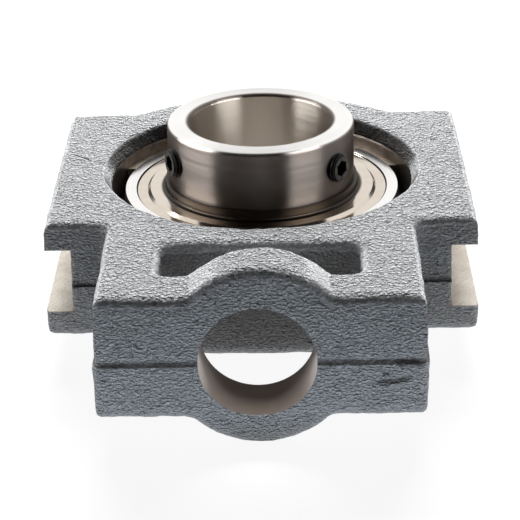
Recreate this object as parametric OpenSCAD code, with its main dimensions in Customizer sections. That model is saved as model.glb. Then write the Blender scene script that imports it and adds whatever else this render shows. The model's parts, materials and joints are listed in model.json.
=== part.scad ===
// Take-up bearing unit: a cast housing that slides between two rails, pulled along by an adjusting
// screw through its tail, with a self-aligning insert bearing in its spherical seat.
// Millimetres. The origin is the centre of the seat, +Z is the shaft axis and the tail points to -Y.

/* [Insert bearing] */
// Shaft bore of the inner ring
bore_d = 40; // [34:0.5:46]
// Diameter of the outer ring's spherical outside
insert_od = 80; // [72:0.5:88]
// Wall of both rings under the bottom of their raceways
race_wall = 4.02; // [3.5:0.02:4.6]
// Height of the inner ring's shoulders as a share of the ball diameter
inner_shoulder_share = 0.183; // [0.15:0.001:0.22]
// Height of the outer ring's shoulders as a share of the ball diameter
outer_shoulder_share = 0.2; // [0.15:0.001:0.22]
// Raceway radius as a share of the ball diameter
raceway_share = 0.52; // [0.51:0.005:0.54]
// Distance from the ball plane to the front face of the inner ring
inner_ring_long = 30.2; // [27:0.2:36]
// Distance from the ball plane to the rear face of the inner ring
inner_ring_short = 19; // [17:0.5:22]
// Rounding of the inner ring's edges and bore mouths
ring_edge_r = 1.1; // [0.5:0.1:1.6]
// Width of the outer ring
outer_ring_w = 21; // [19:0.25:23.5]

/* [Cage] */
// Thickness of the pressed cage sheet
cage_t = 0.8; // [0.5:0.1:1]
// Diameter of the rivet shanks
rivet_d = 1.6; // [1.2:0.1:2]
// Diameter of the rivet heads
rivet_head_d = 2.8; // [2.4:0.1:3.2]
// Height of a rivet head
rivet_head_h = 0.5; // [0.3:0.1:0.8]

/* [Seals and flingers] */
// Thickness of a rubber seal
seal_t = 1.4; // [1:0.1:1.6]
// Depth of the seals' recess in the outer ring's shoulders
seal_seat_depth = 2; // [1.5:0.1:2.4]
// Thickness of the flinger sheet
flinger_t = 0.8; // [0.6:0.1:1]
// Width of a flinger's lower rim
flinger_rim_w = 3.2; // [2:0.1:4.5]
// Height of the step in a flinger
flinger_step_h = 0.8; // [0.4:0.1:0.9]
// Height of the collar that grips the inner ring
flinger_collar_h = 2.8; // [1.5:0.1:4]

/* [Set screws] */
// Thread diameter of the set screws
set_screw_d = 8; // [6:0.5:9]
// Distance from the inner ring's front face to the screw axis
set_screw_inset = 8.6; // [7:0.1:10]
// Hex socket across flats
socket_af = 4; // [3:0.5:5]
// Depth of the hex socket
socket_depth = 3; // [2:0.1:3.5]
// Turn of the first screw from the tail direction
set_screw_turn = -66.5; // [-80:0.5:-50]
// Angle between the two screws
set_screw_spread = 120; // [90:5:135]
// How far the first screw stands out of the ring
screw_1_proud = 1.3; // [0:0.1:2]
// How far the second screw stands out of the ring
screw_2_proud = 1.3; // [0:0.1:2]

/* [Housing body] */
// Wall between the mouth of the seat and the floor of a rail groove
side_wall = 6; // [4:0.2:10]
// Depth of the rail grooves
groove_depth = 7.8; // [5:0.2:10]
// Width of the rail grooves
guide_slot_w = 18; // [14:0.5:20]
// Length of the ears along the rails
guide_len = 84; // [79:0.5:89]
// Shift of the cast ears along the rails, away from the tail
ear_shift = 0.8; // [-1.5:0.1:1.5]
// Thickness of the body over its faces
body_t = 33; // [31:0.5:38]
// Wall of the rounded back end at the mouth of the seat
back_wall = 13; // [10:0.2:18]
// Height of the mould's parting line from the ball plane
parting_z = -1.5; // [-4:0.5:4]
// Step between the two mould halves at the parting line
parting_step = 0.5; // [0.1:0.1:0.8]
// Draft of the cast sides in degrees
draft = 1.8; // [1:0.1:3]
// Rounding of the cast edges
edge_r = 2.5; // [1:0.25:3]
// Rounding of the upright corners
corner_r = 3; // [2:0.5:5]

/* [Tail] */
// Hole for the adjusting screw
screw_hole_d = 29.6; // [26:0.2:33]
// Sideways shift of the cored screw hole
hole_shift_x = -0.8; // [-1.5:0.1:1.5]
// Height shift of the cored screw hole
hole_shift_z = -0.8; // [-1.5:0.1:1.5]
// Wall of the round boss about the screw hole
boss_wall = 9.4; // [8:0.2:12]
// Fillet between the boss and the tail's faces
boss_fillet_r = 4; // [2:0.5:6]
// Thickness of the tail's front wall
front_wall = 16.5; // [14:0.5:19]
// Width of the slot for the adjusting nut
nut_slot_w = 51.6; // [46:0.2:58]
// Length of the nut slot along the tail
nut_slot_len = 17.2; // [15:0.2:20]
// Wall between the nut slot and the mouth of the seat
slot_wall = 9.2; // [6:0.2:14]
// Wall of the tail beside the nut slot
tail_side_wall = 16; // [12:0.5:19]
// Rounding of the nut slot's corners
nut_slot_r = 3.5; // [2:0.5:6]
// Fillet where the tail meets the ears
tail_fillet_r = 4; // [2:0.5:6]

/* [Seat] */
// Width of the spherical seat
seat_w = 18; // [14:0.5:20]
// Room between the insert's outside and the machined wall beside the seat
recess_room = 2.5; // [1:0.1:3.5]
// Widening of the cast mouth from the machined wall to the housing's face
mouth_flare = 2.3; // [1:0.1:4]
// Depth of the cast mouth
mouth_depth = 4; // [2:0.1:4.5]
// Width of the two loading slots
loading_slot_w = 32; // [24:1:38]

/* [Grease nipple] */
// Thread diameter of the nipple
nipple_thread_d = 6; // [5:0.5:7]
// Length of the nipple's thread
nipple_thread_len = 6; // [5:0.5:7]
// Hexagon across flats
nipple_hex_af = 7; // [7:0.5:9]
// Height of the hexagon
nipple_hex_h = 3; // [2.5:0.25:4]
// Diameter of the nipple's head
nipple_head_d = 6.5; // [6:0.1:7]
// Diameter of the neck under the head
nipple_neck_d = 4.8; // [4.4:0.1:5.4]
// Height of the nipple above its hexagon
nipple_head_h = 7; // [6.5:0.25:8]
// Diameter of the check ball
nipple_ball_d = 2.4; // [2:0.1:2.6]
// Wire of the nipple's spring
spring_wire_d = 0.35; // [0.25:0.05:0.4]
// Turns of the nipple's spring
spring_turns = 5; // [4:1:7]
// Height of the grease duct from the ball plane
lube_z = -6; // [-6.2:0.1:-5.9]
// Diameter of the grease duct in the housing
duct_d = 3.6; // [3:0.2:4]
// Diameter of the grease hole in the outer ring
lube_hole_d = 1.6; // [1.2:0.1:1.8]

/* [Clearances] */
// Radial play between the balls and their raceways
ball_play = 0.03; // [0.02:0.01:0.06]
// Gap between the cage and the shoulders of both rings
cage_play = 1.2; // [0.8:0.1:1.6]
// Play of the balls in the cage pockets
pocket_play = 0.2; // [0.1:0.05:0.3]
// Play of the outer ring in the spherical seat
seat_play = 0.05; // [0.02:0.01:0.1]
// Gap between the cage and a seal
seal_gap = 0.35; // [0.2:0.05:0.6]
// Gap between a seal and the flinger over it
flinger_gap = 0.6; // [0.3:0.05:1]
// Play of a flinger's rim in the outer ring's recess
flinger_play = 0.4; // [0.2:0.05:0.8]
// Play of a seal's lip on the inner ring
lip_play = 0.1; // [0.05:0.05:0.3]
// Gap left round pressed and threaded pieces
press_gap = 0.02; // [0.01:0.01:0.05]
// Play of the set screws in their holes
thread_play = 0.05; // [0.03:0.01:0.1]
// Play of the check ball in the nipple
check_play = 0.1; // [0.05:0.05:0.2]

/* [Hidden] */
ball_count = 9;
$fn = 96;

cast_grey = "#8b959f";
ground_steel = "#c4c3c0";
bright_steel = "#d9d2c4";
dark_rubber = "#2b2b2d";
black_oxide = "#1d1c1c";
zinc_plate = "#bfc2c2";

// Room that a cutter takes past a face, and the bite by which a fillet crosses its neighbours
past = 1;
blend_bite = 0.05;

// The balls run half way between the bore and the insert's outside, and fill the room between the raceways
ball_circle_r = (bore_d + insert_od) / 4;
inner_race_r = bore_d / 2 + race_wall;
outer_race_r = insert_od / 2 - race_wall;
ball_d = outer_race_r - inner_race_r - 2 * ball_play;
ball_r = ball_d / 2;
ball_pitch = 360 / ball_count;
pocket_r = ball_r + pocket_play;
raceway_r = ball_d * raceway_share;
ring_r = inner_race_r + ball_d * inner_shoulder_share;
ring_wall = ring_r - bore_d / 2;
shoulder_r = outer_race_r - ball_d * outer_shoulder_share;

seal_z = pocket_r + cage_t + seal_gap;
seal_seat_r = shoulder_r + seal_seat_depth;
collar_r = ring_r + press_gap;
rim_z = seal_z + seal_t + flinger_gap + flinger_t;
flat_z = rim_z + flinger_step_h;
collar_top = flat_z + flinger_collar_h;

// A set screw is as long as the ring's wall is thick
set_screw_len = ring_wall;
screw_z = inner_ring_long - set_screw_inset;
screw_hole_r = set_screw_d / 2 + thread_play;

face_z = body_t / 2;
seat_r = insert_od / 2 + seat_play;
seat_half = seat_w / 2;
recess_r = insert_od / 2 + recess_room;
mouth_r = recess_r + mouth_flare;
guide_span = 2 * (mouth_r + side_wall);
ear_span = guide_span + 2 * groove_depth;
back_r = mouth_r + back_wall;
draft_inset = (face_z + abs(parting_z)) * tan(draft) + parting_step;
tail_reach = mouth_r + slot_wall + nut_slot_len + front_wall;
tail_front = -tail_reach;
tail_w = nut_slot_w + 2 * tail_side_wall;
nut_slot_front = tail_front + front_wall;
boss_r = screw_hole_d / 2 + boss_wall;

// The nipple sits on a flat spot that is faced into the rounded back end
nipple_spot_r = nipple_hex_af * 0.8;
nipple_seat_y = sqrt(back_r * back_r - nipple_spot_r * nipple_spot_r) - draft_inset;
nipple_tip = nipple_hex_h + nipple_head_h;
check_bore_r = nipple_ball_d / 2 + check_play;
check_lip_r = nipple_ball_d * 0.38;
check_lip_h = 0.6;
check_seat_h = nipple_tip - check_lip_h;
check_ball_h = check_seat_h - press_gap - sqrt(pow(nipple_ball_d / 2, 2) - pow(check_lip_r, 2));
spring_foot = nipple_hex_h * 0.5;
spring_len = check_ball_h - nipple_ball_d / 2 - spring_foot - press_gap;

// Rectangle with round corners, centred
module rounded_rect(w, h, r) {
    square([w - 2 * r, h], center = true);
    square([w, h - 2 * r], center = true);
    for (x = [-1, 1], y = [-1, 1])
        translate([x * (w / 2 - r), y * (h / 2 - r)])
            circle(r);
}

// Right half of a centred outline, for turning about an axis
module right_half(reach, h) {
    intersection() {
        children();
        translate([0, -h / 2 - past])
            square([reach + past, h + 2 * past]);
    }
}

// Half of a cast wall's section: h high on the parting line, drawn in, with round edges at its top
module cast_half(half_w, h) {
    round_x = half_w - (h - edge_r) * tan(draft) - edge_r / cos(draft);
    round_z = h - edge_r;
    side_x = round_x + edge_r * cos(draft);
    side_z = round_z + edge_r * sin(draft);
    polygon([
        [-half_w, 0], [half_w, 0], [side_x, side_z],
        [round_x, h], [-round_x, h], [-side_x, side_z]
    ]);
    for (x = [-1, 1])
        translate([x * round_x, round_z])
            circle(edge_r);
}

// Section of a cast wall: widest at the parting line and drawn in towards both faces
module cast_section(w) {
    translate([0, parting_z]) {
        cast_half(w / 2 - parting_step, face_z - parting_z);
        mirror([0, 1])
            cast_half(w / 2, face_z + parting_z);
    }
}

// Block that carries the ears along both sides
module ear_block() {
    translate([0, ear_shift, 0])
        intersection() {
            translate([0, guide_len / 2, 0])
                rotate([90, 0, 0])
                    linear_extrude(guide_len)
                        cast_section(ear_span);
            translate([-ear_span / 2, 0, 0])
                rotate([90, 0, 90])
                    linear_extrude(ear_span)
                        cast_section(guide_len);
            linear_extrude(body_t, center = true)
                rounded_rect(ear_span, guide_len, corner_r);
        }
}

// Room behind the front of the boss, which stands a bite back from the tail's drafted front
module boss_room() {
    lean = tan(draft);
    boss_front = tail_front + 2 * blend_bite;
    upper_front = boss_front + parting_step + (boss_r - parting_z) * lean;
    lower_front = boss_front + (boss_r + parting_z) * lean;
    mid_front = boss_front + parting_step + abs(parting_z) * lean;
    translate([-tail_w, 0, 0])
        rotate([90, 0, 90])
            linear_extrude(2 * tail_w)
                polygon([
                    [upper_front, boss_r + past], [mid_front, 0], [lower_front, -boss_r - past],
                    [0, -boss_r - past], [0, boss_r + past]
                ]);
}

// Round boss on both faces of the tail's front wall, with its fillets
module tail_boss() {
    centre_z = face_z + boss_fillet_r - blend_bite;
    centre_x = sqrt(pow(boss_r + boss_fillet_r - blend_bite, 2) - centre_z * centre_z);
    translate([0, nut_slot_front, 0])
        rotate([90, 0, 0])
            linear_extrude(front_wall) {
                circle(boss_r);
                for (x = [0, 1], z = [0, 1])
                    mirror([x, 0])
                        mirror([0, z])
                            difference() {
                                polygon([[0, 0], [centre_x, 0], [centre_x, centre_z]]);
                                translate([centre_x, centre_z])
                                    circle(boss_fillet_r);
                            }
            }
}

// Tail, with its boss cut to the same drafted front
module tail() {
    intersection() {
        rotate([90, 0, 0])
            linear_extrude(tail_reach)
                cast_section(tail_w);
        translate([-tail_w / 2, 0, 0])
            rotate([90, 0, 90])
                linear_extrude(tail_w)
                    cast_section(2 * tail_reach);
        translate([0, -tail_reach / 2, 0])
            linear_extrude(body_t, center = true)
                rounded_rect(tail_w, tail_reach, corner_r);
    }
    intersection() {
        tail_boss();
        boss_room();
    }
}

// Upright fillets in the two corners between the tail and the ears, with round edges like theirs
module tail_fillets() {
    root_x = tail_w / 2 - draft_inset - blend_bite;
    root_y = guide_len / 2 - ear_shift - draft_inset - blend_bite;
    fillet_reach = 3 * tail_fillet_r;
    for (side = [0, 1])
        mirror([side, 0, 0])
            intersection() {
                translate([root_x - edge_r, -root_y - tail_fillet_r, -body_t])
                    cube([tail_fillet_r + edge_r, tail_fillet_r + edge_r, 2 * body_t]);
                translate([root_x + tail_fillet_r, -root_y - tail_fillet_r, 0])
                    rotate_extrude()
                        translate([tail_fillet_r + fillet_reach / 2, 0])
                            rounded_rect(fillet_reach, body_t, edge_r);
            }
}

// Spherical seat, the machined wall and cast mouth on both faces, and the two loading slots
module seat_cut() {
    sphere(seat_r);
    for (side = [0, 1])
        mirror([0, 0, side])
            rotate_extrude()
                polygon([
                    [0, seat_half], [recess_r, seat_half], [recess_r, face_z - mouth_depth],
                    [mouth_r, face_z], [mouth_r, face_z + past], [0, face_z + past]
                ]);
    intersection() {
        cylinder(r = recess_r, h = seat_half + past);
        cube([2 * mouth_r, loading_slot_w, body_t], center = true);
    }
}

// Grease duct, threaded hole and faced spot for the nipple
module nipple_cut() {
    translate([0, 0, lube_z])
        rotate([-90, 0, 0]) {
            cylinder(d = duct_d, h = nipple_seat_y);
            translate([0, 0, nipple_seat_y - nipple_thread_len - past])
                cylinder(d = nipple_thread_d, h = nipple_thread_len + 2 * past);
            translate([0, 0, nipple_seat_y])
                cylinder(r = nipple_spot_r, h = back_r);
        }
}

module housing() {
    color(cast_grey)
        difference() {
            union() {
                ear_block();
                tail();
                rotate_extrude()
                    right_half(back_r, body_t)
                        cast_section(2 * back_r);
                tail_fillets();
            }
            seat_cut();
            nipple_cut();
            for (side = [-1, 1])
                translate([side * (guide_span + groove_depth + past) / 2, ear_shift, 0])
                    cube([groove_depth + past, guide_len + 2 * past, guide_slot_w], center = true);
            translate([0, nut_slot_front + nut_slot_len / 2, 0])
                linear_extrude(body_t + 2 * past, center = true)
                    rounded_rect(nut_slot_w, nut_slot_len, nut_slot_r);
            translate([hole_shift_x, tail_front - past, hole_shift_z])
                rotate([-90, 0, 0])
                    cylinder(d = screw_hole_d, h = front_wall + 2 * past);
        }
}

module outer_ring() {
    half_w = outer_ring_w / 2;
    race_centre = outer_race_r - raceway_r;
    color(ground_steel)
        difference() {
            rotate_extrude()
                difference() {
                    intersection() {
                        right_half(insert_od, outer_ring_w)
                            circle(insert_od / 2);
                        translate([0, -half_w])
                            square([insert_od, outer_ring_w]);
                    }
                    translate([0, -half_w - past])
                        square([shoulder_r, outer_ring_w + 2 * past]);
                    for (side = [0, 1])
                        mirror([0, side])
                            translate([0, seal_z])
                                square([seal_seat_r, half_w]);
                    translate([race_centre, 0])
                        circle(raceway_r);
                }
            translate([0, 0, lube_z])
                rotate([-90, 0, 0])
                    cylinder(d = lube_hole_d, h = insert_od);
        }
}

// Places a piece at a set screw's hole, with +Z out along the hole
module at_set_screw(index) {
    rotate([0, 0, set_screw_turn + index * set_screw_spread])
        translate([0, 0, screw_z])
            rotate([90, 0, 0])
                children();
}

module inner_ring() {
    inner_ring_w = inner_ring_long + inner_ring_short;
    race_centre = inner_race_r + raceway_r;
    color(ground_steel)
        difference() {
            rotate_extrude()
                difference() {
                    translate([ring_r - ring_wall / 2, inner_ring_long - inner_ring_w / 2])
                        rounded_rect(ring_wall, inner_ring_w, ring_edge_r);
                    translate([race_centre, 0])
                        circle(raceway_r);
                }
            for (i = [0, 1])
                at_set_screw(i)
                    cylinder(r = screw_hole_r, h = 2 * ring_r);
        }
}

// Places a piece on the ball circle, at the ball with this number or half way past it
module on_ball_circle(number) {
    rotate([0, 0, 90 + number * ball_pitch])
        translate([ball_circle_r, 0, 0])
            children();
}

module ball(number) {
    color(ground_steel)
        on_ball_circle(number)
            sphere(ball_r);
}

// Pressed ribbon with a half-round pocket for each ball, and holes for the rivets between them
module cage_half() {
    inside_r = ring_r + cage_play;
    outside_r = shoulder_r - cage_play;
    color(bright_steel)
        intersection() {
            difference() {
                union() {
                    cylinder(r = shoulder_r, h = cage_t);
                    for (i = [1 : ball_count])
                        on_ball_circle(i)
                            sphere(pocket_r + cage_t);
                }
                for (i = [1 : ball_count]) {
                    on_ball_circle(i)
                        sphere(pocket_r);
                    on_ball_circle(i + 0.5)
                        cylinder(d = rivet_d + 2 * press_gap, h = ball_d, center = true);
                }
            }
            rotate_extrude()
                translate([inside_r, 0])
                    square([outside_r - inside_r, ball_d]);
        }
}

module cage_front_half() {
    cage_half();
}

module cage_rear_half() {
    mirror([0, 0, 1])
        cage_half();
}

module cage_rivets() {
    color(ground_steel)
        for (i = [1 : ball_count])
            on_ball_circle(i + 0.5) {
                cylinder(d = rivet_d, h = 2 * cage_t + rivet_head_h, center = true);
                for (side = [0, 1])
                    mirror([0, 0, side])
                        translate([0, 0, cage_t])
                            cylinder(d = rivet_head_d, h = rivet_head_h);
            }
}

// Rubber seal: a washer in the outer ring's recess with a lip that thins towards the inner ring
module seal() {
    lip_r = ring_r + lip_play;
    outside_r = seal_seat_r - press_gap;
    lip_t = seal_t / 3;
    root_r = (lip_r + outside_r) / 2;
    color(dark_rubber)
        rotate_extrude()
            polygon([
                [lip_r, seal_z + seal_t - lip_t], [root_r, seal_z + press_gap], [outside_r, seal_z + press_gap],
                [outside_r, seal_z + seal_t], [lip_r, seal_z + seal_t]
            ]);
}

module front_seal() {
    seal();
}

module rear_seal() {
    mirror([0, 0, 1])
        seal();
}

// Pressed flinger: a collar on the inner ring, a flat and a lower rim that covers the seal
module flinger() {
    rim_r = seal_seat_r - flinger_play;
    step_r = rim_r - flinger_rim_w;
    wall_r = collar_r + flinger_t;
    color(bright_steel)
        rotate_extrude() {
            polygon([
                [collar_r, flat_z - flinger_t], [step_r - flinger_t, flat_z - flinger_t],
                [step_r, rim_z - flinger_t], [rim_r, rim_z - flinger_t], [rim_r, rim_z],
                [step_r + flinger_t / 2, rim_z], [step_r - flinger_t / 2, flat_z],
                [wall_r, flat_z], [wall_r, collar_top], [collar_r, collar_top]
            ]);
            difference() {
                translate([collar_r, flat_z - flinger_t / 2])
                    square([2 * flinger_t, 1.5 * flinger_t]);
                translate([wall_r + flinger_t, flat_z + flinger_t])
                    circle(flinger_t);
            }
        }
}

module front_flinger() {
    flinger();
}

module rear_flinger() {
    mirror([0, 0, 1])
        flinger();
}

// Hex socket set screw with a cup point
module set_screw(index, proud) {
    screw_r = set_screw_d / 2;
    bevel = screw_r / 5;
    cup_r = screw_r / 2;
    tip_h = ring_r + proud - set_screw_len;
    color(black_oxide)
        at_set_screw(index)
            translate([0, 0, tip_h])
                difference() {
                    rotate_extrude()
                        polygon([
                            [0, 0], [screw_r - 2 * bevel, 0], [screw_r, 2 * bevel],
                            [screw_r, set_screw_len - bevel], [screw_r - bevel, set_screw_len], [0, set_screw_len]
                        ]);
                    translate([0, 0, set_screw_len - socket_depth])
                        cylinder(d = socket_af / cos(30), h = socket_depth + past, $fn = 6);
                    translate([0, 0, -past])
                        cylinder(r1 = cup_r + past, r2 = 0, h = cup_r + past);
                }
}

module set_screw_1() {
    set_screw(0, screw_1_proud);
}

module set_screw_2() {
    set_screw(1, screw_2_proud);
}

// Places a piece of the nipple, with +Z out of the housing from the faced spot
module at_nipple() {
    translate([0, nipple_seat_y, lube_z])
        rotate([-90, 0, 0])
            children();
}

module nipple_body() {
    neck_r = nipple_neck_d / 2;
    head_r = nipple_head_d / 2;
    neck_top = nipple_hex_h + nipple_head_h * 0.4;
    head_wide = nipple_hex_h + nipple_head_h * 0.6;
    tip_r = check_bore_r + check_lip_h;
    color(zinc_plate)
        at_nipple()
            difference() {
                union() {
                    translate([0, 0, -nipple_thread_len])
                        cylinder(d = nipple_thread_d - 2 * press_gap, h = nipple_thread_len + past);
                    cylinder(d = nipple_hex_af / cos(30), h = nipple_hex_h, $fn = 6);
                    rotate_extrude()
                        polygon([
                            [0, past], [neck_r, past], [neck_r, neck_top], [head_r, head_wide],
                            [head_r, head_wide + check_lip_h], [tip_r, nipple_tip], [0, nipple_tip]
                        ]);
                }
                translate([0, 0, spring_foot])
                    cylinder(r = check_bore_r, h = check_seat_h - spring_foot);
                translate([0, 0, -nipple_thread_len - past])
                    cylinder(r = check_lip_r, h = nipple_thread_len + nipple_tip + 2 * past);
            }
}

module nipple_ball() {
    color(ground_steel)
        at_nipple()
            translate([0, 0, check_ball_h])
                sphere(d = nipple_ball_d);
}

// Compression spring under the check ball, a round wire swept along a helix
module nipple_spring() {
    sides = 8;
    steps = 12 * spring_turns;
    coil_r = check_bore_r - check_play - spring_wire_d / 2;
    wire_r = spring_wire_d / 2;
    rise = (spring_len - spring_wire_d) / steps;
    points = [
        for (i = [0 : steps], j = [0 : sides - 1])
            let (
                turn = i * 30,
                round = j * 360 / sides,
                reach = coil_r + wire_r * cos(round)
            )
            [reach * cos(turn), reach * sin(turn), wire_r + i * rise + wire_r * sin(round)]
    ];
    walls = [
        for (i = [0 : steps - 1], j = [0 : sides - 1])
            let (next = (j + 1) % sides)
            [i * sides + j, i * sides + next, (i + 1) * sides + next, (i + 1) * sides + j]
    ];
    first_end = [for (j = [sides - 1 : -1 : 0]) j];
    last_end = [for (j = [0 : sides - 1]) steps * sides + j];
    color(ground_steel)
        at_nipple()
            translate([0, 0, spring_foot + press_gap])
                polyhedron(points, concat(walls, [first_end, last_end]));
}

housing();
outer_ring();
inner_ring();
for (i = [1 : ball_count]) {
    ball(i);
}
cage_front_half();
cage_rear_half();
cage_rivets();
front_seal();
rear_seal();
front_flinger();
rear_flinger();
set_screw_1();
set_screw_2();
nipple_body();
nipple_ball();
nipple_spring();
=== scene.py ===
import json
import math

import bmesh
import bpy
from mathutils import Matrix, Vector, noise


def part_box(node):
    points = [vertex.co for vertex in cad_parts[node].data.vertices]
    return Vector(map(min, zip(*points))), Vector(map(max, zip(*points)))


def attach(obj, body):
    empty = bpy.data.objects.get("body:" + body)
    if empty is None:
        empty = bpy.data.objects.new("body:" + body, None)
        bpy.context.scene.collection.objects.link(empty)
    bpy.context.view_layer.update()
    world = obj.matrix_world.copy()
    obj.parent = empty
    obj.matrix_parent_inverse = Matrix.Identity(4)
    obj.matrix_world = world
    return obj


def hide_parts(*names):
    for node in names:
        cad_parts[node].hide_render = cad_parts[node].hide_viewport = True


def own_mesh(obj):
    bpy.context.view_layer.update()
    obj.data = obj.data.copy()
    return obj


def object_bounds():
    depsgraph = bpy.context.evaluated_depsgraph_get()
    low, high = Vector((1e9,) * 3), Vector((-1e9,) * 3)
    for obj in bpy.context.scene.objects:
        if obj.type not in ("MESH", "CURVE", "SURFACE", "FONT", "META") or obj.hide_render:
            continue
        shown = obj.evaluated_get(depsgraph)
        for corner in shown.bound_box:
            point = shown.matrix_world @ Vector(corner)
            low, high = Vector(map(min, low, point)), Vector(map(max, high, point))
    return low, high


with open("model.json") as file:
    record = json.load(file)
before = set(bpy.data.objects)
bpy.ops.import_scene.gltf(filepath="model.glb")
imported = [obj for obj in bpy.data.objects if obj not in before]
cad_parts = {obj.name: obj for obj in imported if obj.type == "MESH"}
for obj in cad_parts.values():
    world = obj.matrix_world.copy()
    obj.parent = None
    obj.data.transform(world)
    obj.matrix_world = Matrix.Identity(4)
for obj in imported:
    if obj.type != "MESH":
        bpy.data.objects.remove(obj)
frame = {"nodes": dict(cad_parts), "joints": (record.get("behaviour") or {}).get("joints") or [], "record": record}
cad_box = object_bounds()

# Cast housing: one grey-iron sand casting in blue-grey paint, with the seat bored, the rail grooves
# milled and the adjusting screw's hole cored smooth. The solid is remeshed to even cells, its cast
# edges are softened as a mould leaves them, and the skin of the sand is pressed into it.
MM = 0.001
HOUSING_CELLS_DEPTH = 8
HOUSING_CELLS_SCALE = 0.75
EDGE_SOFTENING_PASSES = 3
EDGE_SOFTENING_SHARE = 0.5
SHARP_EDGE = math.radians(42)
WELD_REACH = 0.002 * MM
SQUARE_ON = 0.7
BORED_WALL_R = 42.5 * MM
BORED_WALL_TOP = 12.5 * MM
MOUTH_R = 44.8 * MM
GROOVE_HALF_W = 9.0 * MM
CUT_SLACK = 0.2 * MM
DRILLED_SLACK = 0.6 * MM
FLANGE_FRONT_Y = -40.8 * MM
PARTING_Z = -1.5 * MM
PARTING_STEP = 0.5 * MM
DRAFT = math.radians(1.8)
FACE_Z = 16.5 * MM
CAST_EDGE_R = 3.0 * MM
BOSS_R = 24.2 * MM
BOSS_FILLET_R = 4.0 * MM
BOSS_FILLET_Z = FACE_Z + BOSS_FILLET_R
BOSS_FILLET_X = math.sqrt((BOSS_R + BOSS_FILLET_R) ** 2 - BOSS_FILLET_Z ** 2)
NUT_SLOT_HALF_W = 25.8 * MM
NUT_SLOT_LENGTH = 17.2 * MM
NUT_SLOT_R = 3.5 * MM
SKIN_LAYERS = ((14.0 * MM, 0.20 * MM), (4.5 * MM, 0.20 * MM), (1.8 * MM, 0.14 * MM))
SKIN_BUILD = 0.10 * MM
PARTING_STEP_HALF = 0.8 * MM
PARTING_GROOVE = {"centre": 0.95 * MM, "width": 0.8 * MM, "depth": 0.6 * MM}
FLAW_LUMP = {"x": 30.7 * MM, "z": -2.8 * MM, "r": 1.8 * MM, "rise": 0.4 * MM}
TAIL_CREASE = {"centre": (32.5 * MM, -5.9 * MM), "slope": 0.1, "reach": 5.6 * MM, "width": 1.3 * MM}
TAIL_STAIN = {"centre": (36.4 * MM, -0.9 * MM), "slope": -0.1, "reach": 4.2 * MM, "width": 1.1 * MM}
TAIL_PIT = {"centre": (30.9 * MM, -3.7 * MM), "slope": 0.0, "reach": 0.9 * MM, "width": 0.8 * MM}
EAR_SCRATCH = {"centre": (-51.2 * MM, 6.4 * MM), "slope": -0.7, "reach": 4.4 * MM, "width": 0.5 * MM}
# Paint colours: lighter on the lumps of the sand skin and darker as painted shade in its hollows
PAINT_LIT_LUMPS = (0.53, 0.54, 0.555, 1)
PAINT_SHADED_HOLLOWS = (0.36, 0.375, 0.395, 1)
# Painted shade for the pits of the skin
PIT_SHADE = (0.08, 0.085, 0.09, 1)
WHITE = (1, 1, 1, 1)

nodes = frame["nodes"]
mounts = {mount["name"]: mount for mount in frame["record"]["mounts"]}
hole = mounts["adjusting_screw_hole"]
hole_x, hole_y, hole_z = hole["pos_m"]
hole_r = hole["dims"]["r_mm"] * MM
hole_back_y = hole_y + hole["dims"]["length_mm"] * MM / 2
nut_slot_y = hole_back_y + NUT_SLOT_LENGTH / 2
groove_floor_x = mounts["right_rail_groove"]["pos_m"][0]
tail_face_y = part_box("housing")[0].y


def add(tree, kind, inputs=None, **settings):
    """A shader node with its settings, and each input set to a value or linked to an output."""
    made = tree.nodes.new("ShaderNode" + kind)
    for name, value in settings.items():
        setattr(made, name, value)
    for socket, value in (inputs or {}).items():
        if isinstance(value, bpy.types.NodeSocket):
            tree.links.new(value, made.inputs[socket])
        else:
            made.inputs[socket].default_value = value
    return made


def calc(tree, operation, *values, clamp=False):
    """The output of a Math node on values or outputs."""
    return add(tree, "Math", dict(enumerate(values)), operation=operation, use_clamp=clamp).outputs[0]


def span(tree, value, low, high, to_low=0.0, to_high=1.0):
    """value from low..high to to_low..to_high, held at the ends, with a soft start and stop."""
    inputs = {"Value": value, "From Min": low, "From Max": high, "To Min": to_low, "To Max": to_high}
    return add(tree, "MapRange", inputs, interpolation_type="SMOOTHSTEP").outputs["Result"]


def mix(tree, share, first, second, blend="MIX"):
    """The colour that lies between two colours by a share."""
    made = add(tree, "Mix", {0: share, 6: first, 7: second}, data_type="RGBA", blend_type=blend)
    return made.outputs[2]


def effect(name, inputs, outputs):
    """An empty shader node group with its named inputs and outputs: the tree and the two ends."""
    tree = bpy.data.node_groups.new(name, "ShaderNodeTree")
    for label, value in inputs.items():
        socket = tree.interface.new_socket(label, in_out="INPUT", socket_type="NodeSocketFloat")
        socket.default_value = value
    for label in outputs:
        tree.interface.new_socket(label, in_out="OUTPUT", socket_type="NodeSocketFloat")
    return tree, tree.nodes.new("NodeGroupInput"), tree.nodes.new("NodeGroupOutput")


def use(tree, group, **inputs):
    """A node group placed in a material with its own values."""
    made = tree.nodes.new("ShaderNodeGroup")
    made.node_tree = group
    for label, value in inputs.items():
        made.inputs[label.replace("_", " ")].default_value = value
    return made.outputs


def finish_of(name, **constants):
    """A new material with values on its Principled BSDF: the material, its tree and that shader."""
    material = bpy.data.materials.new(name)
    material.use_nodes = True
    tree = material.node_tree
    shader = tree.nodes["Principled BSDF"]
    for label, value in constants.items():
        shader.inputs[label.replace("_", " ")].default_value = value
    return material, tree, shader


def feed(tree, shader, **outputs):
    """Links outputs to the shader's inputs by name."""
    for label, output in outputs.items():
        tree.links.new(output, shader.inputs[label.replace("_", " ")])


def from_axis(tree):
    """Distance of the surface from the shaft's axis."""
    place = add(tree, "SeparateXYZ", {0: add(tree, "TexCoord").outputs["Object"]}).outputs
    side_squared = calc(tree, "MULTIPLY", place["Y"], place["Y"])
    return calc(tree, "SQRT", calc(tree, "MULTIPLY_ADD", place["X"], place["X"], side_squared))


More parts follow.
